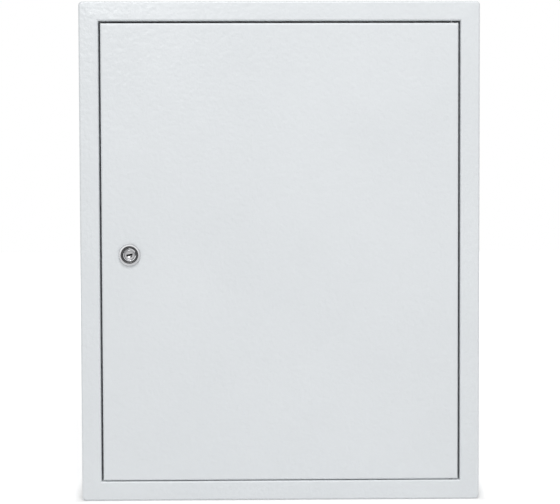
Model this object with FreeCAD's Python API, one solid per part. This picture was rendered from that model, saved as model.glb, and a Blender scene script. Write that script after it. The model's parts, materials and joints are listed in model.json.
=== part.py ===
import FreeCAD, Part
import math
import os

# Wall enclosure of folded steel sheet, with a door set flush in its front.
# All lengths are in millimetres. X runs to the right, Y back to the wall, Z up.
# The origin is the middle of the face that lies on the wall.

vec = FreeCAD.Vector

# Case
case_width = 400.0
case_height = 500.0
case_depth = 220.0
case_sheet = 1.5
fold_radius = 0.6
case_corner = 4.0
rim_width = 19.5
seat_depth = 22.0
gutter_width = 8.0
back_flange = 14.0
back_corner_gap = 0.5

# Door and its seal
door_side_gap = 1.9
door_end_gap = 1.5
door_drop = 0.7
door_sheet = 1.5
door_flange = 12.0
seal_width = 8.0
seal_thickness = 9.0
seal_inner_radius = 3.0
seal_clearance = 0.3

# Hinge pins, held by the door and turning in the case
pin_inset = 6.6
pin_depth = 5.0
pin_diameter = 4.0
pin_clearance = 0.05
pin_reach = 3.0
pin_tip_chamfer = 0.6
pin_head_diameter = 6.4
pin_head_length = 4.0
swing_clearance = 2.08
bracket_height = 26.0
bracket_sheet = 1.5
bracket_skin_gap = 0.6
bracket_side_wall = 2.6
bracket_nose = 3.4
bracket_drop = 5.0
clip_thickness = 0.8
clip_diameter = 6.4
clip_grip = 0.5
clip_mouth = 3.0

# Holes for the wall fixings
wall_hole_diameter = 8.5
wall_hole_from_side = 50.0
wall_hole_from_top = 40.0

# Cable entry in the floor of the case
entry_from_side = 80.0
entry_depth = 90.0
entry_corner = 6.0
entry_setback = 60.0
entry_margin = 16.0
entry_seal_thickness = 2.0
entry_seal_trim = 2.0
entry_plate_thickness = 1.5
entry_stud_diameter = 5.0
entry_stud_length = 12.0
entry_stud_columns = 2
entry_hole_clearance = 0.25
entry_nut_flats = 8.0
entry_nut_height = 4.0
entry_nut_flange = 11.0
entry_nut_flange_thickness = 1.0

# Mounting plate and what carries it
plate_from_side = 40.0
plate_from_top = 50.0
plate_thickness = 2.0
plate_fold = 12.0
plate_fold_radius = 2.0
plate_standoff = 18.0
plate_stud_diameter = 8.0
plate_stud_length = 32.0
plate_stud_inset_x = 20.0
plate_stud_inset_z = 18.0
plate_hole_clearance = 0.5
spacer_diameter = 14.0
spacer_clearance = 0.2
plate_washer_diameter = 16.0
plate_washer_thickness = 1.6
plate_nut_flats = 13.0
plate_nut_height = 6.5

# Earthing studs of the case and the door
earth_stud_diameter = 6.0
earth_stud_length = 20.0
earth_washer_diameter = 12.0
earth_washer_thickness = 1.2
earth_nut_flats = 10.0
earth_nut_height = 5.0
earth_from_floor = 50.0
earth_from_back = 60.0
door_earth_inset = 90.0

# Clearances shared by all fasteners
thread_gap = 0.05

# Lock
lock_from_side = 49.4
lock_drop = 2.2
lock_seal_thickness = 0.6
lock_seal_trim = 0.5
bezel_diameter = 21.6
bezel_height = 2.0
bezel_chamfer = 0.9
groove_outer_diameter = 17.4
groove_inner_diameter = 14.6
groove_depth = 1.3
boss_chamfer = 0.8
dish_diameter = 12.6
dish_depth = 0.7
barrel_diameter = 18.0
barrel_flats = 16.0
barrel_clearance = 0.15
lock_washer_diameter = 23.0
lock_washer_thickness = 1.0
lock_washer_teeth = 12
lock_washer_tooth = 1.2
lock_nut_flats = 22.0
lock_nut_height = 4.0
plug_diameter = 10.6
plug_clearance = 0.05
plug_rim_chamfer = 0.4
keyway_width = 6.2
keyway_thickness = 1.8
keyway_depth = 15.0
keyway_tilt = 12.0
wafer_count = 5
wafer_thickness = 0.9
wafer_pitch = 2.4
wafer_first = 4.0
wafer_width = 4.4
wafer_clearance = 0.1
drive_size = 6.5
drive_clearance = 0.1
cam_thickness = 2.5
cam_width = 16.0
cam_overlap = 6.0
cam_clearance = 0.5
cam_running_gap = 0.2
cam_tip_bevel = 4.0
cam_washer_diameter = 13.0
cam_washer_thickness = 1.0
cam_screw_diameter = 4.0
cam_screw_length = 10.0
cam_screw_head_diameter = 8.5
cam_screw_head_height = 2.8
cam_screw_head_chamfer = 0.6
cam_screw_recess = 1.2

# Places and sizes that follow from the ones above
front = -case_depth
outer_fold = fold_radius + case_sheet
opening_right = case_width / 2 - rim_width
opening_top = case_height / 2 - rim_width
door_right = opening_right - door_side_gap
door_top = opening_top - door_end_gap
pin_x = door_right - pin_inset
pin_y = front + pin_depth
flange_sweep = math.hypot(pin_inset, door_flange - pin_depth)
hinge_gutter_width = door_side_gap + pin_inset + flange_sweep + swing_clearance
lip_front = door_sheet + seal_thickness + seal_clearance
wall_hole_spacing_x = case_width - 2 * wall_hole_from_side
wall_hole_spacing_z = case_height - 2 * wall_hole_from_top
entry_width = case_width - 2 * entry_from_side
plate_width = case_width - 2 * plate_from_side
plate_height = case_height - 2 * plate_from_top
plate_back_y = -case_sheet - plate_standoff
plate_front_y = plate_back_y - plate_thickness
lock_x = -case_width / 2 + lock_from_side
lock_z = -lock_drop
cam_front_y = front + seat_depth + case_sheet + cam_clearance
barrel_end_y = cam_front_y - cam_running_gap
entry_centre_y = -entry_setback - entry_depth / 2
floor_z = -case_height / 2 + case_sheet

made = {}


def rounded_block(width, height, depth, corner, front_radius):
    """A block centred on X and Z from Y = 0 back, with its four long edges and its front edges rounded."""
    block = Part.makeBox(width, depth, height, vec(-width / 2, 0, -height / 2))
    if corner > 0:
        long_edges = [e for e in block.Edges if abs(e.BoundBox.YLength - depth) < 1e-6]
        block = block.makeFillet(corner, long_edges)
    if front_radius > 0:
        front_edges = [e for e in block.Edges if e.BoundBox.YMax < 1e-6]
        block = block.makeFillet(front_radius, front_edges)
    return block


def folded_pan(width, height, depth, corner, sheet):
    """A tray folded from one sheet: its face at Y = 0, its four walls running back, open behind."""
    outside = rounded_block(width, height, depth, corner, fold_radius + sheet)
    inner_corner = max(corner - sheet, 0)
    inside = rounded_block(width - 2 * sheet, height - 2 * sheet, depth, inner_corner, fold_radius)
    inside.translate(vec(0, sheet, 0))
    return outside.cut(inside)


def arc_at(corner, arriving, leaving, radius):
    """A quarter arc that rounds a right-angled corner of a path."""
    start = corner - arriving * radius
    end = corner + leaving * radius
    centre = corner - arriving * radius + leaving * radius
    middle = centre + (corner - centre).normalize() * radius
    return start, Part.Arc(start, middle, end).toShape(), end


def rounded_path(corners, radii):
    """Straight runs through the corners, joined by arcs of the given radii."""
    edges = []
    start = corners[0]
    for here, after, radius in zip(corners[1:-1], corners[2:], radii):
        before = corners[corners.index(here) - 1]
        arriving = (here - before).normalize()
        leaving = (after - here).normalize()
        arc_start, arc, arc_end = arc_at(here, arriving, leaving, radius)
        edges.append(Part.makeLine(start, arc_start))
        edges.append(arc)
        start = arc_end
    edges.append(Part.makeLine(start, corners[-1]))
    return edges


def sheet_section(corners, sheet, inner_radius):
    """The section of a folded sheet. Its face follows the corners, and its thickness lies to their left."""
    directions = [(b - a).normalize() for a, b in zip(corners, corners[1:])]
    left = [vec(-d.y, d.x, 0) for d in directions]
    hidden = [corners[0] + left[0] * sheet]
    face_radii = []
    hidden_radii = []
    for index in range(1, len(corners) - 1):
        hidden.append(corners[index] + left[index - 1] * sheet + left[index] * sheet)
        turns_left = directions[index - 1].cross(directions[index]).z > 0
        face_radii.append(inner_radius + (sheet if turns_left else 0))
        hidden_radii.append(inner_radius + (0 if turns_left else sheet))
    hidden.append(corners[-1] + left[-1] * sheet)
    edges = rounded_path(corners, face_radii)
    edges.append(Part.makeLine(corners[-1], hidden[-1]))
    edges.extend(rounded_path(hidden, hidden_radii))
    edges.append(Part.makeLine(hidden[0], corners[0]))
    return Part.Face(Part.Wire(Part.__sortEdges__(edges)))


def flat_outline(points, y_from, y_to):
    """A prism along Y over a polygon drawn in X and Z."""
    wire = Part.makePolygon([vec(x, y_from, z) for x, z in points + points[:1]])
    return Part.Face(wire).extrude(vec(0, y_to - y_from, 0))


def placed(shape, base, direction):
    """A shape drawn up the Z axis, turned to a direction and set on a base point."""
    turn = FreeCAD.Rotation(vec(0, 0, 1), direction)
    result = shape.copy()
    result.Placement = FreeCAD.Placement(base, turn).multiply(shape.Placement)
    return result


def turned(profile):
    """A solid turned about the Z axis from points of radius and height."""
    points = [vec(radius, 0, height) for radius, height in profile]
    wire = Part.makePolygon(points + points[:1])
    return Part.Face(wire).revolve(vec(0, 0, 0), vec(0, 0, 1), 360)


def hexagon(flats, height):
    """A hexagonal prism up the Z axis, with two of its flats square to Y."""
    corner_radius = flats / math.sqrt(3)
    corners = []
    for step in range(7):
        angle = math.radians(60 * step)
        corners.append(vec(corner_radius * math.cos(angle), corner_radius * math.sin(angle), 0))
    return Part.Face(Part.makePolygon(corners)).extrude(vec(0, 0, height))


def nut(flats, height, bore):
    return hexagon(flats, height).cut(Part.makeCylinder(bore / 2, height))


def washer(outer, thickness, bore):
    return Part.makeCylinder(outer / 2, thickness).cut(Part.makeCylinder(bore / 2, thickness))


def stud(diameter, length):
    return Part.makeCylinder(diameter / 2, length)


def on_each(shape, bases, direction):
    return Part.makeCompound([placed(shape, base, direction) for base in bases])


def corners_of(spacing_x, spacing_z, y):
    """The four points of a rectangle on the case's middle."""
    points = []
    for side in (-1, 1):
        for end in (-1, 1):
            points.append(vec(side * spacing_x / 2, y, end * spacing_z / 2))
    return points


# The folded seat round the door opening: rim, return, rain gutter and the lip that meets the seal.

def gutter_on(side):
    return hinge_gutter_width if side == "right" else gutter_width


def seat_corner(right, up):
    """The line where two sides of the seat meet, from the rim inwards, as points in X and Z."""
    x_gutter = gutter_on("right" if right > 0 else "left")
    rim = (right * (case_width / 2 - rim_width / 2), up * (case_height / 2 - rim_width / 2))
    fold_in = (right * (opening_right - outer_fold), up * (opening_top - outer_fold))
    lip_x = opening_right - x_gutter
    lip_z = opening_top - gutter_width
    before_lip = (right * (lip_x + outer_fold), up * (lip_z + outer_fold))
    past_lip = (right * (lip_x - outer_fold), up * (lip_z - outer_fold))
    return [rim, fold_in, before_lip, past_lip]


def seat_side(side, half_span, half_length, quarter_turns, first_corner, second_corner):
    """One side of the seat: its section drawn for the left side, run to length, turned and mitred."""
    rim_start = vec(-half_span + rim_width / 2, front, 0)
    rim_edge = vec(-half_span + rim_width, front, 0)
    gutter_edge = rim_edge + vec(0, seat_depth, 0)
    lip_foot = gutter_edge + vec(gutter_on(side), 0, 0)
    lip_edge = vec(lip_foot.x, front + lip_front, 0)
    section = sheet_section([rim_start, rim_edge, gutter_edge, lip_foot, lip_edge], case_sheet, fold_radius)
    section.translate(vec(0, 0, -half_length))
    run = section.extrude(vec(0, 0, 2 * half_length))
    run.rotate(vec(0, 0, 0), vec(0, 1, 0), 90 * quarter_turns)
    outline = first_corner + list(reversed(second_corner))
    return run.common(flat_outline(outline, front - case_sheet, 0))


def door_seat():
    half_width = case_width / 2
    half_height = case_height / 2
    upper_left = seat_corner(-1, 1)
    upper_right = seat_corner(1, 1)
    lower_left = seat_corner(-1, -1)
    lower_right = seat_corner(1, -1)
    left = seat_side("left", half_width, half_height, 0, lower_left, upper_left)
    top = seat_side("top", half_height, half_width, 1, upper_left, upper_right)
    right = seat_side("right", half_width, half_height, 2, upper_right, lower_right)
    bottom = seat_side("bottom", half_height, half_width, 3, lower_right, lower_left)
    return left.multiFuse([top, right, bottom])


def entry_studs_at():
    """Where the studs of the cable entry plate stand, round the cut-out in the floor."""
    reach_x = entry_width / 2 + entry_margin / 2
    reach_y = entry_depth / 2 + entry_margin / 2
    points = []
    for column in range(entry_stud_columns):
        x = -reach_x + 2 * reach_x * column / (entry_stud_columns - 1)
        for side in (-1, 1):
            points.append(vec(x, entry_centre_y + side * reach_y, floor_z))
    return points


def entry_block(width, depth, thickness, corner, z):
    block = Part.makeBox(width, depth, thickness, vec(-width / 2, entry_centre_y - depth / 2, z))
    upright = [e for e in block.Edges if abs(e.BoundBox.ZLength - thickness) < 1e-6]
    return block.makeFillet(corner, upright)


# Case shell: one sheet wrapped into four walls, with the front rim and the door seat folded in.
shell = folded_pan(case_width, case_height, case_depth, case_corner, case_sheet)
shell.translate(vec(0, front, 0))
window_width = case_width - rim_width
window_height = case_height - rim_width
window = Part.makeBox(
    window_width, 2 * case_sheet, window_height, vec(-window_width / 2, front, -window_height / 2)
)
shell = shell.cut(window).fuse(door_seat())
pin_hole_radius = pin_diameter / 2 + pin_clearance
for end in (-1, 1):
    pin_hole_foot = vec(pin_x, pin_y, end * opening_top - outer_fold)
    shell = shell.cut(Part.makeCylinder(pin_hole_radius, 2 * outer_fold, pin_hole_foot))
entry_cutter_z = floor_z - 2 * case_sheet
shell = shell.cut(entry_block(entry_width, entry_depth, 3 * case_sheet, entry_corner, entry_cutter_z))
made["case_shell"] = shell.removeSplitter()

# Back panel: a shallow tray welded into the rear of the wrapped walls, pierced for the wall fixings.
inner_width = case_width - 2 * case_sheet
inner_height = case_height - 2 * case_sheet
back_corner = case_corner - case_sheet + back_corner_gap
back = folded_pan(inner_width, inner_height, back_flange, back_corner, case_sheet)
back.rotate(vec(0, 0, 0), vec(0, 0, 1), 180)
for point in corners_of(wall_hole_spacing_x, wall_hole_spacing_z, -2 * case_sheet):
    back = back.cut(Part.makeCylinder(wall_hole_diameter / 2, 3 * case_sheet, point, vec(0, 1, 0)))
made["back_panel"] = back

# Cable entry: studs welded to the floor, a foam frame, a blank plate over it and flanged nuts.
entry_points = entry_studs_at()
up = vec(0, 0, 1)
made["entry_studs"] = on_each(stud(entry_stud_diameter, entry_stud_length), entry_points, up)
entry_seal_z = floor_z
entry_plate_z = entry_seal_z + entry_seal_thickness
plate_outer_width = entry_width + 2 * entry_margin
plate_outer_depth = entry_depth + 2 * entry_margin
entry_seal = entry_block(
    plate_outer_width - 2 * entry_seal_trim,
    plate_outer_depth - 2 * entry_seal_trim,
    entry_seal_thickness,
    entry_corner,
    entry_seal_z,
)
entry_seal = entry_seal.cut(
    entry_block(entry_width, entry_depth, entry_seal_thickness, entry_corner, entry_seal_z)
)
entry_plate = entry_block(
    plate_outer_width, plate_outer_depth, entry_plate_thickness, entry_corner, entry_plate_z
)
entry_hole_radius = entry_stud_diameter / 2 + entry_hole_clearance
for point in entry_points:
    hole = Part.makeCylinder(entry_hole_radius, entry_stud_length, point)
    entry_seal = entry_seal.cut(hole)
    entry_plate = entry_plate.cut(hole)
made["entry_seal"] = entry_seal
made["entry_plate"] = entry_plate
entry_bore = entry_stud_diameter + 2 * thread_gap
flanged_nut = nut(entry_nut_flats, entry_nut_height, entry_bore).fuse(
    washer(entry_nut_flange, entry_nut_flange_thickness, entry_bore)
)
entry_nut_bases = [point + up * (entry_seal_thickness + entry_plate_thickness) for point in entry_points]
made["entry_nuts"] = on_each(flanged_nut, entry_nut_bases, up)

# Mounting plate: zinc-plated sheet with two folded long edges, on four studs with spacers, washers and nuts.
toward_front = vec(0, -1, 0)
half_plate = plate_width / 2
plate_section = sheet_section(
    [
        vec(half_plate, plate_front_y + plate_fold, 0),
        vec(half_plate, plate_front_y, 0),
        vec(-half_plate, plate_front_y, 0),
        vec(-half_plate, plate_front_y + plate_fold, 0),
    ],
    -plate_thickness,
    plate_fold_radius + plate_thickness,
)
plate_section.translate(vec(0, 0, -plate_height / 2))
plate = plate_section.extrude(vec(0, 0, plate_height))
stud_spacing_x = plate_width - 2 * plate_stud_inset_x
stud_spacing_z = plate_height - 2 * plate_stud_inset_z
plate_hole_radius = plate_stud_diameter / 2 + plate_hole_clearance
for point in corners_of(stud_spacing_x, stud_spacing_z, plate_back_y + plate_thickness):
    plate = plate.cut(Part.makeCylinder(plate_hole_radius, 3 * plate_thickness, point, toward_front))
made["mounting_plate"] = plate
stud_feet = corners_of(stud_spacing_x, stud_spacing_z, -case_sheet)
made["plate_studs"] = on_each(stud(plate_stud_diameter, plate_stud_length), stud_feet, toward_front)
spacer_bore = plate_stud_diameter + 2 * spacer_clearance
made["plate_spacers"] = on_each(washer(spacer_diameter, plate_standoff, spacer_bore), stud_feet, toward_front)
plate_washer_feet = corners_of(stud_spacing_x, stud_spacing_z, plate_front_y)
plate_washer = washer(plate_washer_diameter, plate_washer_thickness, spacer_bore)
made["plate_washers"] = on_each(plate_washer, plate_washer_feet, toward_front)
plate_nut_feet = corners_of(stud_spacing_x, stud_spacing_z, plate_front_y - plate_washer_thickness)
plate_nut = nut(plate_nut_flats, plate_nut_height, plate_stud_diameter + 2 * thread_gap)
made["plate_nuts"] = on_each(plate_nut, plate_nut_feet, toward_front)


def earth_point(prefix, foot, direction):
    """A welded earthing stud with a contact washer, a nut, a second washer and a lock nut."""
    bore = earth_stud_diameter + 2 * thread_gap
    made[prefix + "_earth_stud"] = placed(stud(earth_stud_diameter, earth_stud_length), foot, direction)
    first_nut = foot + direction * earth_washer_thickness
    second_washer = first_nut + direction * earth_nut_height
    second_nut = second_washer + direction * earth_washer_thickness
    earth_washer = washer(earth_washer_diameter, earth_washer_thickness, bore)
    earth_nut = nut(earth_nut_flats, earth_nut_height, bore)
    made[prefix + "_earth_washers"] = on_each(earth_washer, [foot, second_washer], direction)
    made[prefix + "_earth_nuts"] = on_each(earth_nut, [first_nut, second_nut], direction)


# Earthing points: one low on the left wall of the case, one low on the inside of the door.
earth_z = floor_z + earth_from_floor
earth_point("case", vec(-case_width / 2 + case_sheet, -earth_from_back, earth_z), vec(1, 0, 0))
door_earth_z = -door_top + door_earth_inset / 2
earth_point("door", vec(-door_right + door_earth_inset, front + door_sheet, door_earth_z), vec(0, 1, 0))

# Door panel: a tray folded back all round, pierced for the lock and the two hinge pins. Its weight
# takes up the play of the hinges, so it hangs a little below the middle of the opening.
door = folded_pan(2 * door_right, 2 * door_top, door_flange, 0, door_sheet)
door.translate(vec(0, front, -door_drop))
for end in (-1, 1):
    pin_hole_foot = vec(pin_x, pin_y, end * door_top - 2 * door_sheet)
    door = door.cut(Part.makeCylinder(pin_hole_radius, 4 * door_sheet, pin_hole_foot))


def flatted_rod(diameter, flats, y_from, y_to):
    """A round bar along Y at the lock, with two flats that stop it from turning."""
    length = y_to - y_from
    bar = Part.makeCylinder(diameter / 2, length, vec(lock_x, y_from, lock_z), vec(0, 1, 0))
    keep = Part.makeBox(flats, length, diameter, vec(lock_x - flats / 2, y_from, lock_z - diameter / 2))
    return bar.common(keep)


door = door.cut(
    flatted_rod(
        barrel_diameter + 2 * barrel_clearance, barrel_flats + 2 * barrel_clearance, front - door_sheet,
        front + 2 * door_sheet,
    )
)
made["door_panel"] = door

# Door seal: a foam frame on the inside of the door, pressed by the lip of the seat.
lip_left = -opening_right + gutter_width + case_sheet / 2
lip_right = opening_right - hinge_gutter_width - case_sheet / 2
lip_top = opening_top - gutter_width - case_sheet / 2


def seal_block(half_extra, corner):
    width = lip_right - lip_left + 2 * half_extra
    height = 2 * (lip_top + half_extra)
    block = rounded_block(width, height, seal_thickness, corner, 0)
    block.translate(vec((lip_left + lip_right) / 2, front + door_sheet, 0))
    return block


made["door_seal"] = seal_block(seal_width / 2, seal_inner_radius).cut(
    seal_block(-seal_width / 2, seal_inner_radius)
)


def hinge(end):
    """Bracket, pin and retaining clip at one end of the door. End is 1 at the top and -1 at the bottom."""
    flange_inside = door_right - door_sheet
    bracket_top = door_top - door_sheet - bracket_drop
    bracket_front = front + door_sheet + bracket_skin_gap
    bracket_back = pin_y + pin_diameter / 2 + bracket_side_wall
    nose_x = pin_x - pin_diameter / 2 - bracket_nose
    block = Part.makeBox(
        flange_inside - nose_x, bracket_back - bracket_front, bracket_height,
        vec(nose_x, bracket_front, bracket_top - bracket_height),
    )
    hollow = Part.makeBox(
        flange_inside - bracket_sheet - nose_x, bracket_back - bracket_front,
        bracket_height - 2 * bracket_sheet,
        vec(nose_x, bracket_front, bracket_top - bracket_height + bracket_sheet),
    )
    pin_bore = Part.makeCylinder(
        pin_hole_radius, bracket_height, vec(pin_x, pin_y, bracket_top - bracket_height)
    )
    folded_edge = [
        e for e in block.Edges
        if abs(e.BoundBox.XMin - flange_inside) < 1e-6 and abs(e.BoundBox.YMax - bracket_front) < 1e-6
    ]
    block = block.makeFillet(fold_radius, folded_edge)
    bracket = block.cut(hollow).cut(pin_bore)

    radius = pin_diameter / 2
    head_radius = pin_head_diameter / 2
    shank_foot = bracket_top - bracket_height
    pin_tip = opening_top + case_sheet + pin_reach
    shank = pin_tip - shank_foot
    neck = radius - clip_grip
    clip_from = bracket_height - bracket_sheet - clip_thickness
    pin = turned([
        (0, -pin_head_length),
        (head_radius, -pin_head_length),
        (head_radius, 0),
        (radius, 0),
        (radius, clip_from),
        (neck, clip_from),
        (neck, clip_from + clip_thickness),
        (radius, clip_from + clip_thickness),
        (radius, shank - pin_tip_chamfer),
        (radius - pin_tip_chamfer, shank),
        (0, shank),
    ])
    pin.translate(vec(pin_x, pin_y, shank_foot))

    clip = washer(clip_diameter, clip_thickness, 2 * neck + 2 * thread_gap)
    mouth = Part.makeBox(clip_diameter, clip_mouth, clip_thickness, vec(-clip_diameter, -clip_mouth / 2, 0))
    clip = clip.cut(mouth)
    clip.translate(vec(pin_x, pin_y, shank_foot + clip_from))

    pieces = [bracket, pin, clip]
    if end < 0:
        pieces = [piece.mirror(vec(0, 0, 0), vec(0, 0, 1)) for piece in pieces]
    for piece in pieces:
        piece.translate(vec(0, 0, -door_drop))
    return pieces


# Hinges: a pin through two ears behind each end of the door's right flange, reaching into the seat.
upper_bracket, upper_pin, upper_clip = hinge(1)
lower_bracket, lower_pin, lower_clip = hinge(-1)
made["hinge_bracket_upper"] = upper_bracket
made["hinge_bracket_lower"] = lower_bracket
made["hinge_pin_upper"] = upper_pin
made["hinge_pin_lower"] = lower_pin
made["hinge_clips"] = Part.makeCompound([upper_clip, lower_clip])

# Lock: barrel with its bezel, seal, washer and nut in the door; plug, wafers and cam turn inside it.
backward = vec(0, 1, 0)
lock_axis_foot = vec(lock_x, front, lock_z)
bezel_back = -lock_seal_thickness
bezel_front = bezel_back - bezel_height
barrel_end = barrel_end_y - front
plug_bore_radius = plug_diameter / 2 + plug_clearance
bezel_radius = bezel_diameter / 2
bezel = turned([
    (plug_bore_radius, bezel_front + dish_depth),
    (dish_diameter / 2, bezel_front + plug_rim_chamfer),
    (groove_inner_diameter / 2 - boss_chamfer, bezel_front),
    (groove_inner_diameter / 2, bezel_front + boss_chamfer),
    (groove_inner_diameter / 2, bezel_front + groove_depth),
    (groove_outer_diameter / 2, bezel_front + groove_depth),
    (groove_outer_diameter / 2, bezel_front),
    (bezel_radius - bezel_chamfer, bezel_front),
    (bezel_radius, bezel_front + bezel_chamfer),
    (bezel_radius, bezel_back),
    (plug_bore_radius, bezel_back),
])
bezel = placed(bezel, lock_axis_foot, backward)
barrel = flatted_rod(barrel_diameter, barrel_flats, front + bezel_back, barrel_end_y)
plug_bore = Part.makeCylinder(
    plug_bore_radius, case_depth, vec(lock_x, front - bezel_height, lock_z) + backward * bezel_back, backward
)
made["lock_barrel"] = bezel.fuse(barrel).cut(plug_bore).removeSplitter()

lock_seal = washer(
    bezel_diameter - 2 * lock_seal_trim, lock_seal_thickness, barrel_diameter + 2 * barrel_clearance
)
made["lock_seal"] = placed(lock_seal, lock_axis_foot + backward * bezel_back, backward)


def star_washer():
    """The toothed washer under the lock nut."""
    ring = washer(lock_washer_diameter, lock_washer_thickness, barrel_diameter + 2 * barrel_clearance)
    notch_width = math.pi * lock_washer_diameter / lock_washer_teeth / 3
    notch_foot = lock_washer_diameter / 2 - lock_washer_tooth
    for tooth in range(lock_washer_teeth):
        notch = Part.makeBox(
            2 * lock_washer_tooth, notch_width, lock_washer_thickness, vec(notch_foot, -notch_width / 2, 0)
        )
        notch.rotate(vec(0, 0, 0), vec(0, 0, 1), 360 * tooth / lock_washer_teeth)
        ring = ring.cut(notch)
    return ring


washer_foot = lock_axis_foot + backward * door_sheet
made["lock_washer"] = placed(star_washer(), washer_foot, backward)
lock_nut = nut(lock_nut_flats, lock_nut_height, barrel_diameter + 2 * thread_gap)
lock_nut.rotate(vec(0, 0, 0), vec(0, 0, 1), 30)
made["lock_nut"] = placed(lock_nut, washer_foot + backward * lock_washer_thickness, backward)


def lock_frame(shape):
    """Sets a shape, drawn with Z into the lock and X along the keyway, in its place and tilt."""
    across = vec(math.cos(math.radians(keyway_tilt)), 0, math.sin(math.radians(keyway_tilt)))
    turn = FreeCAD.Rotation(across, vec(0, 0, 0), backward, "ZXY")
    lock_place = FreeCAD.Placement(lock_axis_foot + backward * bezel_front, turn)
    result = shape.copy()
    result.Placement = lock_place.multiply(shape.Placement)
    return result


# Plug: drawn with its face at Z = 0, slotted for the key and the wafers, with a square drive behind.
plug_radius = plug_diameter / 2
plug_length = barrel_end - bezel_front
plug = turned([
    (0, dish_depth),
    (plug_radius - plug_rim_chamfer, dish_depth),
    (plug_radius, dish_depth + plug_rim_chamfer),
    (plug_radius, plug_length),
    (0, plug_length),
])
drive_length = cam_running_gap + cam_thickness
plug = plug.fuse(Part.makeBox(
    drive_size, drive_size, drive_length, vec(-drive_size / 2, -drive_size / 2, plug_length)
))
keyway = Part.makeBox(
    keyway_width, keyway_thickness, keyway_depth, vec(-keyway_width / 2, -keyway_thickness / 2, 0)
)
plug = plug.cut(keyway)
cam_screw_seat = plug_length + drive_length
screw_bore = Part.makeCylinder(
    cam_screw_diameter / 2 + thread_gap, cam_screw_length + thread_gap,
    vec(0, 0, cam_screw_seat + cam_washer_thickness - cam_screw_length - thread_gap),
)
plug = plug.cut(screw_bore)
wafer_length = 2 * math.sqrt(plug_radius ** 2 - (wafer_width / 2) ** 2) - 2 * wafer_clearance
wafers = []
for number in range(wafer_count):
    wafer_z = wafer_first + number * wafer_pitch
    slot = Part.makeBox(
        plug_diameter, wafer_width + 2 * wafer_clearance, wafer_thickness + 2 * wafer_clearance,
        vec(-plug_radius, -wafer_width / 2 - wafer_clearance, wafer_z - wafer_clearance),
    )
    plug = plug.cut(slot)
    plate_piece = Part.makeBox(
        wafer_length, wafer_width, wafer_thickness, vec(-wafer_length / 2, -wafer_width / 2, wafer_z)
    )
    key_window = Part.makeBox(
        keyway_width + 2 * wafer_clearance, keyway_thickness + 2 * wafer_clearance, wafer_thickness,
        vec(-keyway_width / 2 - wafer_clearance, -keyway_thickness / 2 - wafer_clearance, wafer_z),
    )
    wafers.append(lock_frame(plate_piece.cut(key_window)))
made["lock_plug"] = lock_frame(plug)
made["lock_wafers"] = Part.makeCompound(wafers)

# Cam: a flat lever on the square drive, hanging down when unlocked, with a washer and a screw.
hub_radius = cam_width / 2
cam_reach = lock_from_side - rim_width - gutter_width + cam_overlap
tip_half = hub_radius - cam_tip_bevel
cam_outline = [
    (-hub_radius, 0),
    (hub_radius, 0),
    (hub_radius, -cam_reach + cam_tip_bevel),
    (tip_half, -cam_reach),
    (-tip_half, -cam_reach),
    (-hub_radius, -cam_reach + cam_tip_bevel),
]
cam_back_y = cam_front_y + cam_thickness
lever = flat_outline([(lock_x + x, lock_z + z) for x, z in cam_outline], cam_front_y, cam_back_y)
hub = Part.makeCylinder(hub_radius, cam_thickness, vec(lock_x, cam_front_y, lock_z), backward)
drive_hole_size = drive_size + 2 * drive_clearance
drive_hole = lock_frame(Part.makeBox(
    drive_hole_size, drive_hole_size, 2 * cam_thickness,
    vec(-drive_hole_size / 2, -drive_hole_size / 2, cam_screw_seat - 1.5 * cam_thickness),
))
made["lock_cam"] = lever.fuse(hub).cut(drive_hole).removeSplitter()
cam_washer = washer(cam_washer_diameter, cam_washer_thickness, cam_screw_diameter + 2 * spacer_clearance)
cam_washer.translate(vec(0, 0, cam_screw_seat))
made["cam_washer"] = lock_frame(cam_washer)
head_foot = cam_screw_seat + cam_washer_thickness
head_radius = cam_screw_head_diameter / 2
screw_radius = cam_screw_diameter / 2
cam_screw = turned([
    (0, head_foot - cam_screw_length),
    (screw_radius, head_foot - cam_screw_length),
    (screw_radius, head_foot),
    (head_radius, head_foot),
    (head_radius, head_foot + cam_screw_head_height - cam_screw_head_chamfer),
    (head_radius - cam_screw_head_chamfer, head_foot + cam_screw_head_height),
    (0, head_foot + cam_screw_head_height),
])
for quarter in (0, 90):
    recess = Part.makeBox(
        head_radius, cam_screw_recess, cam_screw_recess,
        vec(-head_radius / 2, -cam_screw_recess / 2, head_foot + cam_screw_head_height - cam_screw_recess),
    )
    recess.rotate(vec(0, 0, 0), vec(0, 0, 1), quarter)
    cam_screw = cam_screw.cut(recess)
made["cam_screw"] = lock_frame(cam_screw)

os.makedirs("parts", exist_ok=True)
for name, shape in made.items():
    shape.exportStep("parts/" + name + ".step")
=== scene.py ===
import json
import math

import bpy
from mathutils import Matrix, Vector


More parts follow.
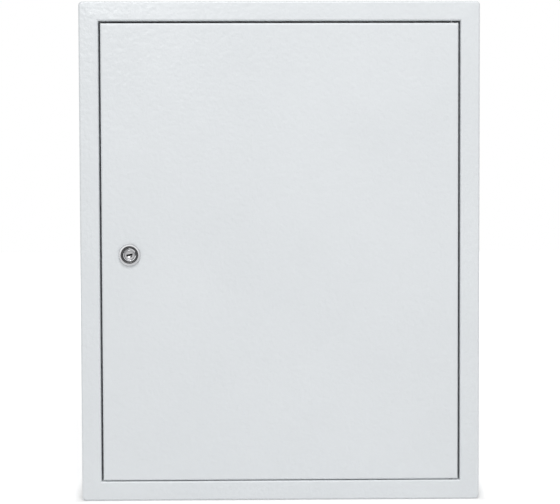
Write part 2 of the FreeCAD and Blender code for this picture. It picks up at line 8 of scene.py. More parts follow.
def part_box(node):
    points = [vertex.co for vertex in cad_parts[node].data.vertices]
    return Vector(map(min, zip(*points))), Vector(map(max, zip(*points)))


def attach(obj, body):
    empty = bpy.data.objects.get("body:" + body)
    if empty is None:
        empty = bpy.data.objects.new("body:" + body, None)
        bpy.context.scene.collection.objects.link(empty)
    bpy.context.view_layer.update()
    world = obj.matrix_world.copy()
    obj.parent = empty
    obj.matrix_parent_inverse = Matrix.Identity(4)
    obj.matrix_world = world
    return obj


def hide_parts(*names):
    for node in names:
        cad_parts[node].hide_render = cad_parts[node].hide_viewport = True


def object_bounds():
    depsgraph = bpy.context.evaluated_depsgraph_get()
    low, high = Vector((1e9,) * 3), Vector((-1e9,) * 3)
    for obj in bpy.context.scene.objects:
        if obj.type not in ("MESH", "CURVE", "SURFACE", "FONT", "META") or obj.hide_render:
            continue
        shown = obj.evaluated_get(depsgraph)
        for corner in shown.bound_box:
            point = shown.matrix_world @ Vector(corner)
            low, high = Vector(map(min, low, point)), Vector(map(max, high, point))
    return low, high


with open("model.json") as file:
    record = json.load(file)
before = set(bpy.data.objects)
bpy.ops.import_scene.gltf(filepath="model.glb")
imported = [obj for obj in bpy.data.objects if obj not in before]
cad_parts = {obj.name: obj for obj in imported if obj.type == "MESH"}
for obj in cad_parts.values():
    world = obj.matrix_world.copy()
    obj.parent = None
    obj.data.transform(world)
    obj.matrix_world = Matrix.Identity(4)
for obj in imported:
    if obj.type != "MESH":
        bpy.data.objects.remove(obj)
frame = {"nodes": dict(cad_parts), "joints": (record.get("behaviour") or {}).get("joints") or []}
cad_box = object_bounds()


# Case shell and back panel. One sheet of 1.5 mm steel is wrapped into the four walls and the
# front rim, which leans a little, and a shallow tray is welded in behind. Both are powder coated
# light grey after welding, with the slight orange peel of a thick coat.

mm = 0.001


def new_finish(name):
    """A material with its own shader, which reads its patterns from the place on the object."""
    finish = bpy.data.materials.new(name)
    finish.use_nodes = True
    place = finish.node_tree.nodes.new("ShaderNodeTexCoord")
    place.name = "place"
    return finish


def lumps(finish, size, detail):
    """A soft uneven pattern with lumps of about the given size."""
    tree = finish.node_tree
    noise = tree.nodes.new("ShaderNodeTexNoise")
    noise.inputs["Scale"].default_value = 1 / size
    noise.inputs["Detail"].default_value = detail
    tree.links.new(tree.nodes["place"].outputs["Object"], noise.inputs["Vector"])
    return noise.outputs["Fac"]


def tint(finish, pattern, dark, light):
    """Colours a surface between two shades over a pattern."""
    tree = finish.node_tree
    shades = tree.nodes.new("ShaderNodeValToRGB")
    first, last = shades.color_ramp.elements
    first.position = 0.3
    first.color = (*dark, 1)
    last.position = 0.7
    last.color = (*light, 1)
    tree.links.new(pattern, shades.inputs["Fac"])
    tree.links.new(shades.outputs["Color"], tree.nodes["Principled BSDF"].inputs["Base Color"])


def polish(finish, pattern, smooth, rough):
    """Takes a surface from smooth to rough over a pattern."""
    tree = finish.node_tree
    limits = tree.nodes.new("ShaderNodeMapRange")
    limits.inputs["From Min"].default_value = 0.3
    limits.inputs["From Max"].default_value = 0.7
    limits.inputs["To Min"].default_value = smooth
    limits.inputs["To Max"].default_value = rough
    tree.links.new(pattern, limits.inputs["Value"])
    tree.links.new(limits.outputs["Result"], tree.nodes["Principled BSDF"].inputs["Roughness"])


def relief(finish, pattern, depth):
    """Raises a surface over a pattern, on top of the relief it already has."""
    tree = finish.node_tree
    bump = tree.nodes.new("ShaderNodeBump")
    bump.inputs["Distance"].default_value = depth
    normal = tree.nodes["Principled BSDF"].inputs["Normal"]
    if normal.is_linked:
        tree.links.new(normal.links[0].from_socket, bump.inputs["Normal"])
    tree.links.new(pattern, bump.inputs["Height"])
    tree.links.new(bump.outputs["Normal"], normal)


def powder_coat(name, dark, light):
    """Paint with the orange peel of a thick coat, and a fine grain on top."""
    finish = new_finish(name)
    tint(finish, lumps(finish, 90 * mm, 3), dark, light)
    polish(finish, lumps(finish, 14 * mm, 2), 0.29, 0.37)
    relief(finish, lumps(finish, 4.8 * mm, 2), 0.5 * mm)
    relief(finish, lumps(finish, 0.9 * mm, 1), 0.03 * mm)
    return finish


def combine(tree, operation, first, second):
    """Works out one operation on two sockets, or on a socket and a number."""
    step = tree.nodes.new("ShaderNodeMath")
    step.operation = operation
    tree.links.new(first, step.inputs[0])
    if isinstance(second, (int, float)):
        step.inputs[1].default_value = second
    else:
        tree.links.new(second, step.inputs[1])
    return step.outputs["Value"]


def outside(finish, half_width, half_height):
    """How far a point lies outside a rectangle in the X-Z plane, in millimetres."""
    tree = finish.node_tree
    place = tree.nodes.new("ShaderNodeSeparateXYZ")
    tree.links.new(tree.nodes["place"].outputs["Object"], place.inputs["Vector"])
    along = combine(tree, "SUBTRACT", combine(tree, "ABSOLUTE", place.outputs["X"], 0), half_width)
    above = combine(tree, "SUBTRACT", combine(tree, "ABSOLUTE", place.outputs["Z"], 0), half_height)
    further = combine(tree, "MAXIMUM", combine(tree, "MAXIMUM", along, above), 0)
    return combine(tree, "MULTIPLY", further, 1 / mm)


def coat(finish, *nodes):
    """Gives CAD nodes their finish."""
    for node in nodes:
        for slot in frame["nodes"][node].material_slots:
            slot.material = finish


case_low, case_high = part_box("case_shell")
rim_width = 19 * mm
rim_lean = math.radians(2.5)
light_grey = ((0.715, 0.742, 0.762), (0.735, 0.762, 0.782))
case_paint = powder_coat("case_paint", *light_grey)
rim = outside(case_paint, case_high.x - rim_width, case_high.z - rim_width)
relief(case_paint, rim, -math.tan(rim_lean) * mm)
coat(case_paint, "case_shell", "back_panel")


# Mounting plate. Galvanised sheet 2 mm thick, its two long edges folded back for stiffness.
# The zinc has frozen in flat crystals just under a centimetre across, some brighter than others.

def metal(name):
    """A finish of bare or plated metal."""
    finish = new_finish(name)
    finish.node_tree.nodes["Principled BSDF"].inputs["Metallic"].default_value = 1
    return finish


def crystals(finish, size):
    """A pattern of flat cells, each with its own even value."""
    tree = finish.node_tree
    cells = tree.nodes.new("ShaderNodeTexVoronoi")
    cells.inputs["Scale"].default_value = 1 / size
    tree.links.new(tree.nodes["place"].outputs["Object"], cells.inputs["Vector"])
    grey = tree.nodes.new("ShaderNodeSeparateColor")
    tree.links.new(cells.outputs["Color"], grey.inputs["Color"])
    return grey.outputs["Red"]


galvanised = metal("zinc_sheet")
spangle = crystals(galvanised, 9 * mm)
tint(galvanised, spangle, (0.60, 0.62, 0.64), (0.68, 0.70, 0.72))
polish(galvanised, spangle, 0.34, 0.44)
relief(galvanised, lumps(galvanised, 1.5 * mm, 2), 0.01 * mm)
coat(galvanised, "mounting_plate")


# Mounting plate studs. M8 weld studs with a rolled thread and a copper flash, fused to the
# back panel. Each carries a spacer sleeve, the plate, a flat washer and a nut.

def draw_profile(name, points):
    """Draws a line through points of radius and height, and leaves it open for editing."""
    bpy.ops.object.select_all(action="DESELECT")
    bpy.ops.mesh.primitive_plane_add(size=mm)
    piece = bpy.context.object
    piece.name = name
    corners = [Vector((radius, 0, height)) for radius, height in points]
    bpy.ops.object.mode_set(mode="EDIT")
    bpy.ops.mesh.select_mode(type="VERT")
    bpy.ops.mesh.merge(type="CENTER")
    bpy.ops.transform.translate(value=corners[0])
    for here, there in zip(corners, corners[1:]):
        bpy.ops.mesh.extrude_region_move(TRANSFORM_OT_translate={"value": there - here})
    bpy.ops.mesh.select_all(action="SELECT")
    return piece


def close_up():
    """Joins what meets, points all faces outwards, leaves editing and smooths the round faces."""
    bpy.ops.mesh.select_all(action="SELECT")
    bpy.ops.mesh.remove_doubles(threshold=0.001 * mm)
    bpy.ops.mesh.normals_make_consistent(inside=False)
    bpy.ops.object.mode_set(mode="OBJECT")
    bpy.ops.object.shade_smooth_by_angle(angle=math.radians(30))


def lathe(name, profile, steps=48):
    """Turns a profile of radius and height about the Z axis."""
    piece = draw_profile(name, profile)
    bpy.ops.mesh.spin(steps=steps, angle=2 * math.pi, center=(0, 0, 0), axis=(0, 0, 1))
    close_up()
    return piece


def apply_modifier(piece, modifier):
    """Makes what a modifier does part of the piece's mesh."""
    bpy.ops.object.select_all(action="DESELECT")
    piece.select_set(True)
    bpy.context.view_layer.objects.active = piece
    bpy.ops.object.modifier_apply(modifier=modifier.name)


def cut(piece, cutter, operation):
    """Combines a piece with a second one, which is used up."""
    boolean = piece.modifiers.new("cut", "BOOLEAN")
    boolean.object = cutter
    boolean.operation = operation
    boolean.solver = "EXACT"
    apply_modifier(piece, boolean)
    bpy.data.objects.remove(cutter)


def threaded_rod(name, diameter, pitch, length, tip, steps=24):
    """A rod with a helical thread, square at its foot and chamfered at its tip."""
    crest = diameter / 2
    root = crest - 0.6 * pitch
    start = -pitch
    piece = draw_profile(name, [
        (root, start),
        (root, start + 0.12 * pitch),
        (crest, start + 0.44 * pitch),
        (crest, start + 0.56 * pitch),
        (root, start + 0.88 * pitch),
        (root, start + pitch),
    ])
    bpy.ops.object.mode_set(mode="OBJECT")
    thread = piece.modifiers.new("thread", "SCREW")
    thread.screw_offset = pitch
    thread.iterations = math.ceil(length / pitch) + 3
    thread.steps = steps
    thread.render_steps = steps
    apply_modifier(piece, thread)
    bpy.ops.object.mode_set(mode="EDIT")
    bpy.ops.mesh.select_all(action="SELECT")
    bpy.ops.mesh.remove_doubles(threshold=0.001 * mm)
    bpy.ops.mesh.bisect(plane_co=(0, 0, -pitch / 4), plane_no=(0, 0, 1), use_fill=True, clear_inner=True)
    bpy.ops.mesh.select_all(action="SELECT")
    end = length + pitch / 4
    bpy.ops.mesh.bisect(plane_co=(0, 0, end), plane_no=(0, 0, 1), use_fill=True, clear_outer=True)
    close_up()
    reach = 1.1 * crest
    blank = lathe("blank", [
        (0, 0),
        (reach, 0),
        (reach, length - tip),
        (crest - tip, length),
        (0, length),
    ])
    cut(piece, blank, "INTERSECT")
    bpy.ops.object.shade_smooth_by_angle(angle=math.radians(30))
    return piece


def set_copies(pattern, feet, direction):
    """Sets a copy of a piece drawn up the Z axis on each point, and takes the pattern away."""
    turn = direction.to_track_quat("Z", "Y").to_matrix().to_4x4()
    pieces = []
    for number, foot in enumerate(feet, 1):
        piece = pattern.copy()
        piece.data = pattern.data.copy()
        piece.name = pattern.name + "_" + str(number)
        piece.data.transform(Matrix.Translation(foot) @ turn)
        bpy.context.collection.objects.link(piece)
        pieces.append(piece)
    bpy.data.objects.remove(pattern)
    return pieces


def fit(pieces, finish, slot, body, *nodes):
    """Gives pieces their finish and the body that carries them, in place of the CAD nodes named."""
    for piece in pieces:
        if not piece.data.materials:
            piece.data.materials.append(finish)
        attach(piece, body)
        if nodes:
            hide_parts(*nodes)


def span(node, axis):
    """How long a CAD node is along an axis."""
    low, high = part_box(node)
    return getattr(high, axis) - getattr(low, axis)


def four_corners(node, inset, axis):
    """The middles of four like pieces that one CAD node holds, as pairs of X and another axis."""
    low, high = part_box(node)
    return [
        (x, other)
        for x in (low.x + inset, high.x - inset)
        for other in (getattr(low, axis) + inset, getattr(high, axis) - inset)
    ]


to_front = Vector((0, -1, 0))
copper_flash = metal("copper_stud")
tint(copper_flash, lumps(copper_flash, 5 * mm, 3), (0.52, 0.31, 0.20), (0.74, 0.50, 0.36))
polish(copper_flash, lumps(copper_flash, 3 * mm, 3), 0.24, 0.42)
plate_stud_radius = 4 * mm
plate_stud_pitch = 1.25 * mm
plate_stud_places = four_corners("plate_studs", plate_stud_radius, "z")


def put_on_back(piece, finish, slot, node):
    """Sets a copy of a piece at each plate stud, its foot where the CAD node's begins."""
    foot_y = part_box(node)[1].y
    feet = [Vector((x, foot_y, z)) for x, z in plate_stud_places]
    fit(set_copies(piece, feet, to_front), finish, slot, "enclosure", node)


plate_stud_diameter = 2 * plate_stud_radius - 0.1 * mm
plate_stud_length = span("plate_studs", "y")
plate_stud = threaded_rod("plate_stud", plate_stud_diameter, plate_stud_pitch, plate_stud_length, 0.8 * mm)
put_on_back(plate_stud, copper_flash, "copper_stud", "plate_studs")


# Stitch welds of the back panel. Short rippled beads join the flange of the panel to the four
# walls, inside along its edge and outside in the groove between the two folds, and are painted over.

bead_length = 18 * mm
ripples = 9
bead_profile = [(0, 0), (0.55 * mm, 0.25 * mm)]
for ripple in range(ripples):
    for radius, step in ((0.78, 0.3), (0.98, 0.75), (0.86, 1.1)):
        bead_profile.append((radius * mm, (ripple + step) * bead_length / (ripples + 0.5)))
bead_profile += [(0.5 * mm, bead_length - 0.2 * mm), (0, bead_length)]


def stitch_welds(name, inset, y):
    """Beads inside the outline of the back panel, two on a short side and three on a long one."""
    half_width = back_high.x - inset
    half_height = back_high.z - inset
    for label, direction, half_run, half_across, count in (
        ("level", Vector((1, 0, 0)), half_width, half_height, 2),
        ("upright", Vector((0, 0, 1)), half_height, half_width, 3),
    ):
        across = Vector((direction.z, 0, direction.x))
        starts = [
            direction * (half_run * (2 * number + 1 - count) / count - bead_length / 2)
            + across * half_across * side + Vector((0, y, 0))
            for side in (-1, 1)
            for number in range(count)
        ]
        bead = lathe(name + "_" + label, bead_profile, 16)
        fit(set_copies(bead, starts, direction), case_paint, "case_paint", "enclosure")


back_low, back_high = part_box("back_panel")
groove_depth = 1.05 * mm
stitch_welds("weld_inside", 0.3 * mm, back_low.y - 0.2 * mm)
stitch_welds("weld_behind", 0.1 * mm, -groove_depth)


# Spacers, washers and nuts of the mounting plate. Bright zinc plated steel: a sleeve that
# keeps the plate off the back, a pressed washer and a cold-formed nut chamfered both sides.

def washer(name, outer, bore, thickness, edge):
    """A ring with its four edges broken."""
    return lathe(name, [
        (bore + edge, 0),
        (outer - edge, 0),
        (outer, edge),
        (outer, thickness - edge),
        (outer - edge, thickness),
        (bore + edge, thickness),
        (bore, thickness - edge),
        (bore, edge),
        (bore + edge, 0),
    ])


def hexagon_nut(name, flats, height, bore):
    """A nut with a chamfered crown and foot, and a countersunk bore."""
    corner = flats / math.sqrt(3)
    shoulder = 0.475 * flats
    fall = (corner - shoulder) * math.tan(math.radians(30))
    lead = 0.08 * bore
    radius = bore / 2
    nut = lathe(name, [
        (radius + lead, 0),
        (shoulder, 0),
        (corner, fall),
        (corner, height - fall),
        (shoulder, height),
        (radius + lead, height),
        (radius, height - lead),
        (radius, lead),
        (radius + lead, 0),
    ])
    bpy.ops.mesh.primitive_cylinder_add(
        vertices=6, radius=0.998 * corner, depth=2 * height, location=(0, 0, height / 2)
    )
    cut(nut, bpy.context.object, "INTERSECT")
    bpy.ops.object.shade_smooth_by_angle(angle=math.radians(20))
    return nut


bright_zinc = metal("zinc_fastener")
tint(bright_zinc, lumps(bright_zinc, 6 * mm, 3), (0.62, 0.64, 0.67), (0.76, 0.77, 0.78))
polish(bright_zinc, lumps(bright_zinc, 2 * mm, 3), 0.20, 0.36)
relief(bright_zinc, lumps(bright_zinc, 0.6 * mm, 1), 0.006 * mm)

clear_radius = 4.2 * mm
spacer = washer("plate_spacer", 7 * mm, clear_radius, span("plate_spacers", "y"), 0.4 * mm)
put_on_back(spacer, bright_zinc, "zinc_fastener", "plate_spacers")
plate_washer = washer("plate_washer", 8 * mm, clear_radius, span("plate_washers", "y"), 0.25 * mm)
put_on_back(plate_washer, bright_zinc, "zinc_fastener", "plate_washers")
plate_nut = hexagon_nut("plate_nut", 13 * mm, span("plate_nuts", "y"), 8.1 * mm)
put_on_back(plate_nut, bright_zinc, "zinc_fastener", "plate_nuts")


# Cable entry. A blank galvanised plate closes the cut-out in the floor of the case. It sits
# on a frame of closed-cell foam, held by M5 weld studs with flanged nuts at its corners.

def rounded_loop(width, height, corner):
    """Adds the outline of a rounded rectangle to the piece being edited."""
    bpy.ops.mesh.select_all(action="DESELECT")
    bpy.ops.mesh.primitive_plane_add(size=1)
    bpy.ops.transform.resize(value=(width, height, 1))
    bpy.ops.mesh.bevel(offset=corner, segments=8, affect="VERTICES")
    bpy.ops.mesh.delete(type="ONLY_FACE")


def foam_frame(name, width, height, strip, thickness, corners, crown):
    """A frame of foam lying on the XY plane, its upper edges rounded as foam swells when it sets."""
    piece = draw_profile(name, [(0, 0)])
    bpy.ops.mesh.delete(type="VERT")  # leaves an empty piece, still being edited
    rounded_loop(width, height, corners[0])
    rounded_loop(width - 2 * strip, height - 2 * strip, corners[1])
    bpy.ops.mesh.select_all(action="SELECT")
    bpy.ops.mesh.bridge_edge_loops()
    bpy.ops.object.mode_set(mode="OBJECT")
    bpy.context.tool_settings.mesh_select_mode = (False, True, False)
    points = piece.data.vertices
    for edge in piece.data.edges:
        first, last = (points[index].co for index in edge.vertices)
        edge.select = (first - last).length > 3 * strip
    for others in (points, piece.data.polygons):
        others.foreach_set("select", [False] * len(others))
    bpy.ops.object.mode_set(mode="EDIT")
    bpy.ops.mesh.subdivide(number_cuts=30)
    bpy.ops.mesh.select_all(action="SELECT")
    bpy.ops.mesh.extrude_region_move(TRANSFORM_OT_translate={"value": (0, 0, thickness)})
    bpy.ops.mesh.region_to_loop()
    bpy.ops.mesh.bevel(offset=crown, segments=5, affect="EDGES")
    close_up()
    swell = piece.modifiers.new("swell", "DISPLACE")
    swell.texture = bpy.data.textures.new(name, "CLOUDS")
    swell.texture.noise_scale = 25 * mm
    swell.strength = 0.4 * mm
    apply_modifier(piece, swell)
    return piece


foam = new_finish("foam")
tint(foam, lumps(foam, 4 * mm, 4), (0.022, 0.022, 0.024), (0.042, 0.042, 0.045))
polish(foam, lumps(foam, 8 * mm, 2), 0.80, 0.95)
relief(foam, lumps(foam, 0.7 * mm, 2), 0.12 * mm)

up = Vector((0, 0, 1))
seal_low, seal_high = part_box("entry_seal")
seal_middle = (seal_low + seal_high) / 2
entry_seal = foam_frame(
    "entry_foam", span("entry_seal", "x"), span("entry_seal", "y"), 14 * mm,
    span("entry_seal", "z"), (6 * mm, 6 * mm), 0.5 * mm,
)
entry_foam = set_copies(entry_seal, [Vector((seal_middle.x, seal_middle.y, seal_low.z))], up)
fit(entry_foam, foam, "foam", "enclosure", "entry_seal")
coat(galvanised, "entry_plate")

entry_stud_radius = 2.5 * mm
entry_stud_pitch = 0.8 * mm
entry_stud_places = four_corners("entry_studs", entry_stud_radius, "y")


def put_on_floor(piece, finish, slot, node):
    """Sets a copy of a piece at each entry stud, its foot where the CAD node's begins."""
    foot_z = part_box(node)[0].z
    feet = [Vector((x, y, foot_z)) for x, y in entry_stud_places]
    fit(set_copies(piece, feet, up), finish, slot, "enclosure", node)


entry_stud_diameter = 2 * entry_stud_radius - 0.08 * mm
entry_stud_length = span("entry_studs", "z")
entry_stud = threaded_rod("entry_stud", entry_stud_diameter, entry_stud_pitch, entry_stud_length, 0.5 * mm)
put_on_floor(entry_stud, copper_flash, "copper_stud", "entry_studs")

entry_nut = hexagon_nut("entry_nut", 8 * mm, span("entry_nuts", "z"), 5.1 * mm)
cut(entry_nut, washer("flange", 5.5 * mm, 2.55 * mm, 1 * mm, 0.2 * mm), "UNION")
put_on_floor(entry_nut, bright_zinc, "zinc_fastener", "entry_nuts")


# Earthing point of the case. An M6 weld stud low on the left wall, with brass washers and
# nuts that clamp the earth lead's tag between them.

def earth_set(name, foot, direction, body):
    """Stud, two washers and two nuts of one earthing point, a nut on each washer."""
    stud_length = 20 * mm
    washer_height = 1.2 * mm
    nut_height = 5 * mm
    pair = direction * (washer_height + nut_height)
    washer_feet = [foot, foot + pair]
    nut_feet = [washer_foot + direction * washer_height for washer_foot in washer_feet]
    stud = threaded_rod(name + "_stud", 5.9 * mm, 1 * mm, stud_length, 0.7 * mm)
    fit(set_copies(stud, [foot], direction), copper_flash, "copper_stud", body, name + "_stud")
    ring = washer(name + "_washer", 6 * mm, 3.05 * mm, washer_height, 0.2 * mm)
    fit(set_copies(ring, washer_feet, direction), brass, "brass", body, name + "_washers")
    nut = hexagon_nut(name + "_nut", 10 * mm, nut_height, 6.1 * mm)
    fit(set_copies(nut, nut_feet, direction), brass, "brass", body, name + "_nuts")


brass = metal("brass")
tint(brass, lumps(brass, 5 * mm, 3), (0.66, 0.49, 0.20), (0.82, 0.65, 0.33))
polish(brass, lumps(brass, 2 * mm, 3), 0.22, 0.38)

case_earth_low, case_earth_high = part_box("case_earth_stud")
case_earth_middle = (case_earth_low + case_earth_high) / 2
case_earth_foot = Vector((case_earth_low.x, case_earth_middle.y, case_earth_middle.z))
earth_set("case_earth", case_earth_foot, Vector((1, 0, 0)), "enclosure")


# Door panel. The same 1.5 mm sheet, folded back all round into a shallow tray that sits flush
# with the rim, powder coated with the case. The hinge brackets are welded behind its right fold.

door_paint = powder_coat("door_paint", *light_grey)
coat(door_paint, "door_panel", "hinge_bracket_upper", "hinge_bracket_lower")


# Door seal. Polyurethane foam poured straight on to the inside of the door in one bead, which
# sets with a rounded back. The lip of the case presses into it.

to_back = Vector((0, 1, 0))
door_seal_low, door_seal_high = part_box("door_seal")
door_seal_middle = (door_seal_low + door_seal_high) / 2
door_seal = foam_frame(
    "door_foam", span("door_seal", "x"), span("door_seal", "z"), 8 * mm,
    span("door_seal", "y"), (11 * mm, 3 * mm), 3.2 * mm,
)
foot = Vector((door_seal_middle.x, door_seal_low.y, door_seal_middle.z))
door_foam = set_copies(door_seal, [foot], to_back)
fit(door_foam, foam, "foam", "door", "door_seal")


# Hinge pins. Turned steel with a dark finish, pushed through two ears of each bracket
# into the case, with a head below and a bright spring clip in a groove under the upper ear.

dark_steel = metal("steel_pin")
tint(dark_steel, lumps(dark_steel, 4 * mm, 3), (0.11, 0.11, 0.115), (0.17, 0.17, 0.175))
polish(dark_steel, lumps(dark_steel, 1.2 * mm, 2), 0.34, 0.46)
coat(dark_steel, "hinge_pin_upper", "hinge_pin_lower")

spring_steel = metal("spring_steel")
tint(spring_steel, lumps(spring_steel, 4 * mm, 3), (0.50, 0.51, 0.52), (0.62, 0.63, 0.64))
polish(spring_steel, lumps(spring_steel, 1.2 * mm, 2), 0.22, 0.34)
coat(spring_steel, "hinge_clips")


# Earthing point of the door. The same M6 stud and brass fittings, low on the inside of the panel.

door_earth_low, door_earth_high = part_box("door_earth_stud")
door_earth_middle = (door_earth_low + door_earth_high) / 2
door_earth_foot = Vector((door_earth_middle.x, door_earth_low.y, door_earth_middle.z))
earth_set("door_earth", door_earth_foot, to_back, "door")


# Lock barrel. A die-cast zinc body, chrome plated: a flat bezel with a turned groove round the
# raised nose, and behind the door an M18 thread with two flats. One rubber ring seals it against
# the door, and a dark ring laid in the groove is painted shade for the shadow deep inside it.

lock_place = [joint for joint in frame["joints"] if joint["name"] == "lock_turn"][0]
lock_axis = Vector(lock_place["pos_m"])


def lock_piece(name, profile):
    """Turns a piece of the lock. Its profile is radius and depth behind the door's face, in mm."""
    return lathe(name, [(radius * mm, depth * mm) for radius, depth in profile], 96)


chrome = metal("chrome")
tint(chrome, lumps(chrome, 9 * mm, 2), (0.54, 0.545, 0.56), (0.60, 0.605, 0.62))
polish(chrome, lumps(chrome, 3 * mm, 3), 0.05, 0.12)

bore_radius = 5.35
bezel_radius = 10.8
bezel_back = -0.6
nose_front = -2.6
groove_inner = 7.3
groove_outer = 8.8
groove_floor = -1.0
bezel = lock_piece("lock_bezel", [
    (bore_radius, bezel_back),
    (bore_radius, nose_front + 0.2),
    (5.45, nose_front + 0.04),
    (5.55, nose_front),
    (5.68, nose_front),
    (6.9, -1.56),
    (7.15, -1.26),
    (groove_inner, groove_floor),
    (groove_outer, groove_floor),
    (groove_outer, -2.1),
    (8.9, -2.22),
    (9.02, -2.25),
    (10.5, -2.22),
    (10.72, -1.98),
    (bezel_radius, -1.78),
    (bezel_radius, bezel_back),
    (bore_radius, bezel_back),
])
fit(set_copies(bezel, [lock_axis], to_back), chrome, "chrome", "door", "lock_barrel")

barrel_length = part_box("lock_barrel")[1].y - lock_axis.y
barrel = threaded_rod("lock_thread", 17.9 * mm, 1.5 * mm, barrel_length, 0.8 * mm, 64)
across_flats = 16 * mm
bpy.ops.mesh.primitive_cube_add(size=1)
flats = bpy.context.object
flats.scale = (across_flats, 20 * mm, 4 * barrel_length)
cut(barrel, flats, "INTERSECT")
bore = lock_piece("bore", [(0, -1), (bore_radius, -1), (bore_radius, 30), (0, 30)])
cut(barrel, bore, "DIFFERENCE")
fit(set_copies(barrel, [lock_axis], to_back), chrome, "chrome", "door", "lock_barrel")

rubber = new_finish("lock_rubber")
tint(rubber, lumps(rubber, 3 * mm, 3), (0.020, 0.020, 0.021), (0.036, 0.036, 0.037))
polish(rubber, lumps(rubber, 1.5 * mm, 2), 0.55, 0.75)
coat(rubber, "lock_seal")

# The dark ring laid in the groove is painted shade, standing in for the shadow deep in the groove.
ring_gap = 0.02
ring_foot = groove_floor - ring_gap
groove_shade_ring = lock_piece("lock_groove_shade", [
    (groove_inner + ring_gap, ring_foot),
    (groove_outer - ring_gap, ring_foot),
    (groove_outer - ring_gap, -2.0),
    (8.66, -2.04),
    (8.1, -1.36),
    (7.9, -1.24),
    (7.45, -1.2),
    (groove_inner + ring_gap, -1.16),
    (groove_inner + ring_gap, ring_foot),
])
groove_shade_finish = new_finish("painted_groove_shade")
tint(groove_shade_finish, lumps(groove_shade_finish, 3 * mm, 3), (0.034, 0.034, 0.036), (0.050, 0.050, 0.052))
polish(groove_shade_finish, lumps(groove_shade_finish, 1.5 * mm, 2), 0.28, 0.36)
fit(set_copies(groove_shade_ring, [lock_axis], to_back), groove_shade_finish, "lock_rubber", "door")

coat(bright_zinc, "lock_washer")
lock_nut = hexagon_nut("lock_nut", 22 * mm, span("lock_nut", "y"), 18.1 * mm)
foot = Vector((lock_axis.x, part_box("lock_nut")[0].y, lock_axis.z))
fit(set_copies(lock_nut, [foot], to_back), bright_zinc, "zinc_fastener", "door", "lock_nut")


# Lock plug, wafers and cam. The plug is nickel plated and turns with the key. It is slotted for
# the key and the brass wafers, and the inside of its keyway is coloured near black, a painted shade
# for the dark deep in the slot. Behind it a flat plated cam sits on a square, held by a screw.

plug_end = (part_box("lock_plug")[1].y - lock_axis.y) / mm
plug_radius = 5.3
square_depth = 2.7
plug = lock_piece("lock_plug_face", [
    (0, -1.12),
    (1.3, -1.12),
    (1.45, -1.15),
    (1.6, -1.2),
    (2.8, -1.79),
    (2.95, -1.86),
    (3.1, -1.9),
    (3.25, -1.9),
    (4.6, -1.9),
    (4.75, -1.88),
    (5.1, -1.7),
    (plug_radius, -1.3),
    (plug_radius, plug_end - square_depth),
    (0, plug_end - square_depth),
])
keyway_tilt = math.radians(12)


def block(width, height, depth, centre_depth):
    """A square-edged cutter or bar on the axis of the lock, tilted with the keyway, in mm."""
    bpy.ops.mesh.primitive_cube_add(size=1)
    piece = bpy.context.object
    bpy.ops.object.mode_set(mode="EDIT")
    bpy.ops.transform.resize(value=(width * mm, height * mm, depth * mm))
    bpy.ops.transform.translate(value=(0, 0, centre_depth * mm))
    bpy.ops.object.mode_set(mode="OBJECT")
    piece.data.transform(Matrix.Rotation(-keyway_tilt, 4, "Z"))
    return piece


square_side = 6.5
square_reach = square_depth + 0.5
square_place = plug_end - square_reach / 2
cut(plug, block(square_side, square_side, square_reach, square_place), "UNION")
keyway_width = 6.2
keyway_height = 1.8
keyway_depth = 15
cut(plug, block(keyway_width, keyway_height, keyway_depth, nose_front + keyway_depth / 2), "DIFFERENCE")
wafer_height = 4.6
wafer_slot = 1.1
first_wafer = 4.45
wafer_pitch = 2.4
for wafer in range(5):
    wafer_place = nose_front + first_wafer + wafer_pitch * wafer
    cut(plug, block(2 * plug_radius, wafer_height, wafer_slot, wafer_place), "DIFFERENCE")
bpy.ops.object.shade_smooth_by_angle(angle=math.radians(20))
# The faces inside the keyway are coloured near black: painted shade for the dark deep in the slot.
painted_keyway_shade = new_finish("keyway")
tint(painted_keyway_shade, lumps(painted_keyway_shade, 2 * mm, 2), (0.012, 0.012, 0.012), (0.026, 0.025, 0.024))
polish(painted_keyway_shade, lumps(painted_keyway_shade, 1 * mm, 2), 0.5, 0.7)
nickel = metal("plug_nickel")
tint(nickel, lumps(nickel, 4 * mm, 2), (0.34, 0.34, 0.35), (0.42, 0.42, 0.43))
polish(nickel, lumps(nickel, 2 * mm, 2), 0.12, 0.22)
plug.data.materials.append(nickel)
plug.data.materials.append(painted_keyway_shade)
inside_width = (keyway_width / 2 + 0.01) * mm
inside_height = (keyway_height / 2 + 0.01) * mm
for face in plug.data.polygons:
    middle = Matrix.Rotation(keyway_tilt, 3, "Z") @ face.center
    if abs(middle.x) < inside_width and abs(middle.y) < inside_height:
        face.material_index = 1
fit(set_copies(plug, [lock_axis], to_back), nickel, "chrome", "lock", "lock_plug")
coat(brass, "lock_wafers")

cam_plate = metal("cam_steel")
tint(cam_plate, lumps(cam_plate, 7 * mm, 3), (0.56, 0.57, 0.58), (0.70, 0.71, 0.72))
polish(cam_plate, lumps(cam_plate, 2 * mm, 3), 0.26, 0.40)
coat(cam_plate, "lock_cam")
coat(bright_zinc, "cam_washer", "cam_screw")


# Studio floor. Plain, matt and pale, with a painted shadow close round the foot of the case, where
# its glow is turned down. It looks white, but what it shows of that white doesn't light the case.

def looked_at(tree):
    """1 for what the camera, a mirror or a glass sees, and 0 for light on its way round the studio."""
    ray = tree.nodes.new("ShaderNodeLightPath")
    mirrored = combine(tree, "ADD", ray.outputs["Is Camera Ray"], ray.outputs["Is Glossy Ray"])
    seen = combine(tree, "ADD", mirrored, ray.outputs["Is Transmission Ray"])
    return combine(tree, "MINIMUM", seen, 1)


floor_paint = new_finish("floor_white")
tint(floor_paint, lumps(floor_paint, 400 * mm, 2), (0.88, 0.88, 0.88), (0.90, 0.90, 0.90))
polish(floor_paint, lumps(floor_paint, 60 * mm, 2), 0.85, 0.95)
floor_tree = floor_paint.node_tree


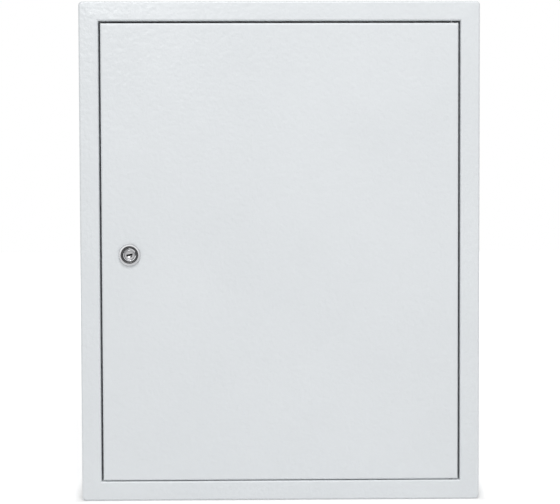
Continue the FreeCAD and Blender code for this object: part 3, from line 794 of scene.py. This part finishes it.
def floor_lift(distance, near, far, low, high):
    """Rises smoothly from low to high between two distances."""
    lift = floor_tree.nodes.new("ShaderNodeMapRange")
    lift.interpolation_type = "SMOOTHSTEP"
    lift.inputs["From Min"].default_value = near
    lift.inputs["From Max"].default_value = far
    lift.inputs["To Min"].default_value = low
    lift.inputs["To Max"].default_value = high
    floor_tree.links.new(distance, lift.inputs["Value"])
    return lift.outputs["Result"]


floor_place = floor_tree.nodes["place"].outputs["Object"]
away = floor_tree.nodes.new("ShaderNodeVectorMath")
away.operation = "LENGTH"
floor_tree.links.new(floor_place, away.inputs[0])
spot = floor_tree.nodes.new("ShaderNodeSeparateXYZ")
floor_tree.links.new(floor_place, spot.inputs["Vector"])
middle_y = (case_low.y + case_high.y) / 2
across_x = combine(floor_tree, "ABSOLUTE", spot.outputs["X"], 0)
from_middle_y = combine(floor_tree, "SUBTRACT", spot.outputs["Y"], middle_y)
across_y = combine(floor_tree, "ABSOLUTE", from_middle_y, 0)
beside = combine(floor_tree, "SUBTRACT", across_x, case_high.x)
in_front = combine(floor_tree, "SUBTRACT", across_y, case_high.y - middle_y)
from_case = combine(floor_tree, "MAXIMUM", beside, in_front)
far_light = floor_lift(away.outputs["Value"], 0.35, 3, 0.42, 0.62)
# The glow is turned down close round the case: a painted shadow at its foot.
painted_contact_shadow = floor_lift(from_case, 0, 18 * mm, 0.3, 1)
floor_light = combine(floor_tree, "MULTIPLY", far_light, painted_contact_shadow)
seen_light = combine(floor_tree, "MULTIPLY", floor_light, looked_at(floor_tree))
glow = floor_tree.nodes.new("ShaderNodeEmission")
floor_tree.links.new(seen_light, glow.inputs["Strength"])
both = floor_tree.nodes.new("ShaderNodeAddShader")
floor_tree.links.new(floor_tree.nodes["Principled BSDF"].outputs["BSDF"], both.inputs[0])
floor_tree.links.new(glow.outputs["Emission"], both.inputs[1])
floor_tree.links.new(both.outputs["Shader"], floor_tree.nodes["Material Output"].inputs["Surface"])
bpy.ops.object.select_all(action="DESELECT")
bpy.ops.mesh.primitive_plane_add(size=12, location=(0, 0, cad_box[0].z))
floor = bpy.context.object
floor.name = "studio_floor"
floor.data.materials.append(floor_paint)


# Studio light. A white world, a large soft lamp above and in front, a weak one on the right, and
# a small one that shows only as gloss. Two black flags show only as dark reflections, above all
# in the lock.

world_level = 0.47
world = bpy.data.worlds.new("studio_white")
bpy.context.scene.world = world
world.use_nodes = True
sky = world.node_tree
sky.nodes["Background"].inputs["Color"].default_value = (1, 1, 1, 1)
sky.nodes["Background"].inputs["Strength"].default_value = world_level
backdrop = sky.nodes.new("ShaderNodeBackground")
backdrop.inputs["Color"].default_value = (1, 1, 1, 1)
backdrop.inputs["Strength"].default_value = 1
chosen = sky.nodes.new("ShaderNodeMixShader")
sky.links.new(looked_at(sky), chosen.inputs["Fac"])
sky.links.new(sky.nodes["Background"].outputs["Background"], chosen.inputs[1])
sky.links.new(backdrop.outputs["Background"], chosen.inputs[2])
sky.links.new(chosen.outputs["Shader"], sky.nodes["World Output"].inputs["Surface"])


def soft_lamp(name, place, target, size, power):
    """A square lamp that faces a point."""
    lamp = bpy.data.lights.new(name, "AREA")
    lamp.size = size
    lamp.energy = power
    holder = bpy.data.objects.new(name, lamp)
    holder.location = place
    holder.rotation_euler = (Vector(target) - Vector(place)).to_track_quat("-Z", "Y").to_euler()
    bpy.context.collection.objects.link(holder)
    return holder


door_front = (0, -0.2, 0)
soft_lamp("key_lamp", (0, -2.0, 2.2), door_front, 1.4, 44)
soft_lamp("fill_lamp", (1.4, -1.5, 0.6), door_front, 1.2, 1.5)
sheen_lamp = soft_lamp("sheen_lamp", (-0.45, -1.7, 0.82), (-0.1, -0.22, 0.15), 0.25, 4.5)
sheen_lamp.visible_diffuse = False

lock_front = Vector((-0.15, -0.22, 0))
for side, place, size in (("left", (-0.87, -0.42, 0.70), 1.25), ("right", (0.55, -0.42, 0.12), 0.5)):
    bpy.ops.object.select_all(action="DESELECT")
    bpy.ops.mesh.primitive_plane_add(size=size, location=place)
    flag = bpy.context.object
    flag.name = "black_flag_" + side
    flag.rotation_euler = (lock_front - flag.location).to_track_quat("-Z", "Y").to_euler()
    flag.visible_camera = False
    flag.visible_diffuse = False
    flag.visible_shadow = False
    flag.data.materials.append(rubber)


# Camera. A long lens about 1.4 m in front of the door, almost square to it and a little above
# its middle.

camera = bpy.data.cameras.new("camera")
camera.sensor_width = 36
camera.lens = 90
camera_stand = bpy.data.objects.new("camera", camera)
camera_stand.location = (-0.0200, -1.6204, 0.0559)
camera_stand.rotation_euler = (math.radians(87.72), math.radians(0.174), math.radians(-0.815))
bpy.context.collection.objects.link(camera_stand)
bpy.context.scene.camera = camera_stand
bpy.context.scene.view_settings.view_transform = "Standard"
